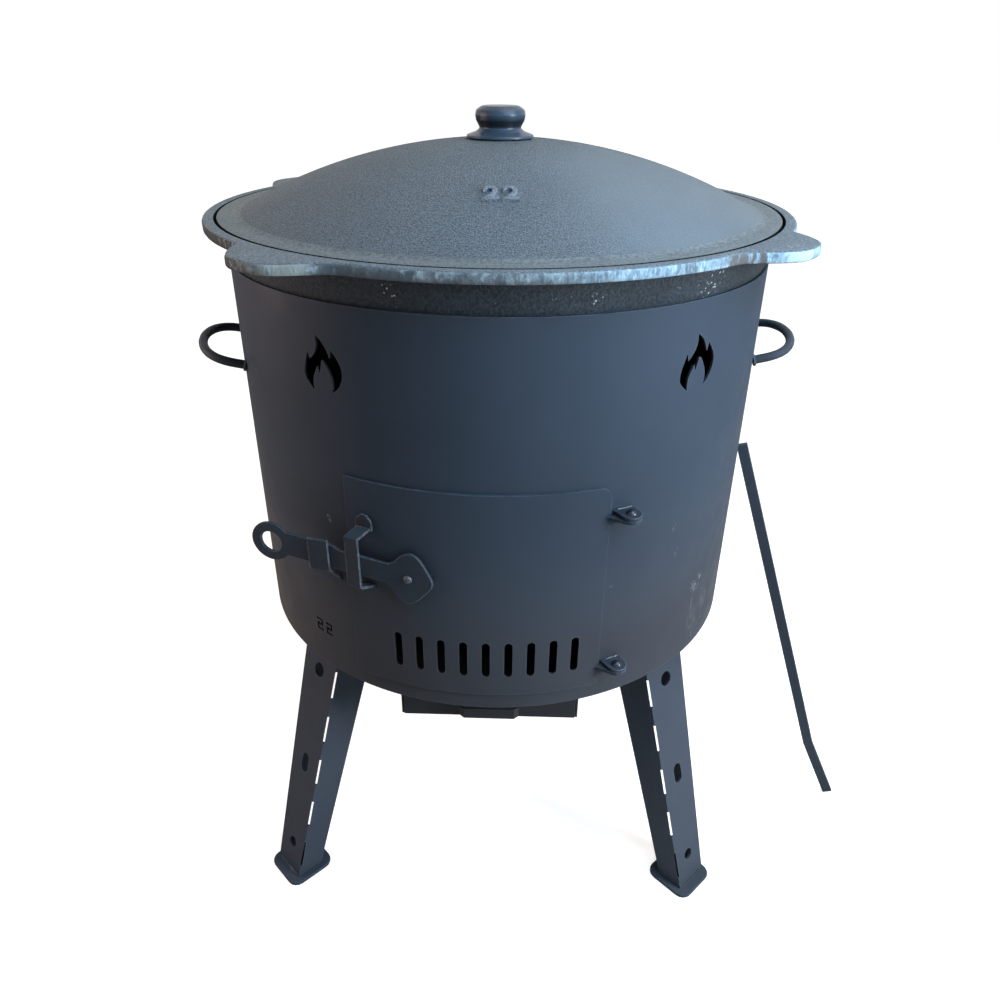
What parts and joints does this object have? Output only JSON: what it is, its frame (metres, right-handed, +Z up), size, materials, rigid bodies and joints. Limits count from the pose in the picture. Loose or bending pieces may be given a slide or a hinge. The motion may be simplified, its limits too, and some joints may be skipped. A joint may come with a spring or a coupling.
{
  "type": "cauldron stove",
  "caption": "Outdoor wood-fired stove: round steel fire box on splayed legs with a fire door, ash drawer and handles, holding a cast-iron cauldron with a domed lid.",
  "frame": {"origin": "on the ground, under the middle of the whole part's bounding box; the stove's own axis is 66.57 mm to the -X side", "axes": "+Z up along the fire box's axis, -Y the front with the fire door and the ash drawer, +X the side where the poker leans"},
  "size_m": [0.6858, 0.52, 0.7426],
  "materials": {
    "ash_drawer": "heat-proof satin paint, slate black",
    "body_shell": "heat-proof satin paint, slate black",
    "cauldron": "seasoned cast iron, fine sand-cast grain",
    "door_ear_lower": "heat-proof satin paint, slate black",
    "door_ear_upper": "heat-proof satin paint, slate black",
    "drawer_pull": "heat-proof satin paint, slate black",
    "drawer_rail_left": "heat-proof satin paint, slate black",
    "drawer_rail_right": "heat-proof satin paint, slate black",
    "fire_door": "heat-proof satin paint, slate black",
    "fire_grate": "seasoned cast iron, fine sand-cast grain",
    "floor_plate": "heat-proof satin paint, slate black",
    "foot_plate_back_left": "heat-proof satin paint, slate black",
    "foot_plate_back_right": "heat-proof satin paint, slate black",
    "foot_plate_front_left": "heat-proof satin paint, slate black",
    "foot_plate_front_right": "heat-proof satin paint, slate black",
    "handle_left": "heat-proof satin paint, slate black",
    "handle_right": "heat-proof satin paint, slate black",
    "hinge_pin_lower": "heat-proof satin paint, slate black",
    "hinge_pin_upper": "heat-proof satin paint, slate black",
    "knob_nut": "plain zinc-plated steel",
    "knob_screw": "plain zinc-plated steel",
    "latch_guide": "heat-proof satin paint, slate black",
    "latch_hook": "heat-proof satin paint, slate black",
    "latch_lever": "heat-proof satin paint, slate black",
    "latch_rivet": "heat-proof satin paint, slate black",
    "latch_washer": "plain zinc-plated steel",
    "leg_back_left": "heat-proof satin paint, slate black",
    "leg_back_right": "heat-proof satin paint, slate black",
    "leg_front_left": "heat-proof satin paint, slate black",
    "leg_front_right": "heat-proof satin paint, slate black",
    "lid": "seasoned cast iron, fine sand-cast grain",
    "lid_knob": "smooth turned knob, satin black",
    "poker": "heat-proof satin paint, slate black",
    "shell_ear_lower": "heat-proof satin paint, slate black",
    "shell_ear_upper": "heat-proof satin paint, slate black"
  },
  "bodies": {
    "stove": {"body_shell": "body_shell", "drawer_rail_left": "drawer_rail_left", "drawer_rail_right": "drawer_rail_right", "floor_plate": "floor_plate", "foot_plate_back_left": "foot_plate_back_left", "foot_plate_back_right": "foot_plate_back_right", "foot_plate_front_left": "foot_plate_front_left", "foot_plate_front_right": "foot_plate_front_right", "handle_left": "handle_left", "handle_right": "handle_right", "hinge_pin_lower": "hinge_pin_lower", "hinge_pin_upper": "hinge_pin_upper", "latch_hook": "latch_hook", "leg_back_left": "leg_back_left", "leg_back_right": "leg_back_right", "leg_front_left": "leg_front_left", "leg_front_right": "leg_front_right", "shell_ear_lower": "shell_ear_lower", "shell_ear_upper": "shell_ear_upper"},
    "door": {"fire_door": "fire_door", "door_ear_upper": "door_ear_upper", "door_ear_lower": "door_ear_lower", "latch_guide": "latch_guide", "latch_rivet": "latch_rivet", "latch_washer": "latch_washer"},
    "latch": {"latch_lever": "latch_lever"},
    "drawer": {"ash_drawer": "ash_drawer", "drawer_pull": "drawer_pull"},
    "grate": {"fire_grate": "fire_grate"},
    "cauldron_body": {"cauldron": "cauldron"},
    "lid_body": {"lid": "lid", "lid_knob": "lid_knob", "knob_screw": "knob_screw", "knob_nut": "knob_nut"},
    "poker_body": {"poker": "poker"}
  },
  "joints": [
    {"name": "door_swing", "type": "hinge", "parent": "stove", "child": "door", "pos_m": [0.04452, -0.22675, 0.39175], "axis": [0, 0, 1], "range_deg": [0, 140]},
    {"name": "latch_lift", "type": "hinge", "parent": "door", "child": "latch", "pos_m": [-0.13196, -0.24067, 0.41], "axis": [0.2622, 0.965, 0], "range_deg": [0, 22.5]},
    {"name": "drawer_slide", "type": "slide", "parent": "stove", "child": "drawer", "axis": [0, -1, 0], "range_m": [0, 0.2]},
    {"name": "grate_lift", "type": "slide", "parent": "stove", "child": "grate", "axis": [0, 0, 1], "range_m": [0, 0.08]},
    {"name": "cauldron_lift", "type": "slide", "parent": "stove", "child": "cauldron_body", "axis": [0, 0, 1], "range_m": [0, 0.25]},
    {"name": "lid_lift", "type": "slide", "parent": "cauldron_body", "child": "lid_body", "axis": [0, 0, 1], "range_m": [0, 0.15]},
    {"name": "poker_away", "type": "slide", "parent": "stove", "child": "poker_body", "axis": [0.9681, -0.2504, 0], "range_m": [0, 0.1]}
  ]
}
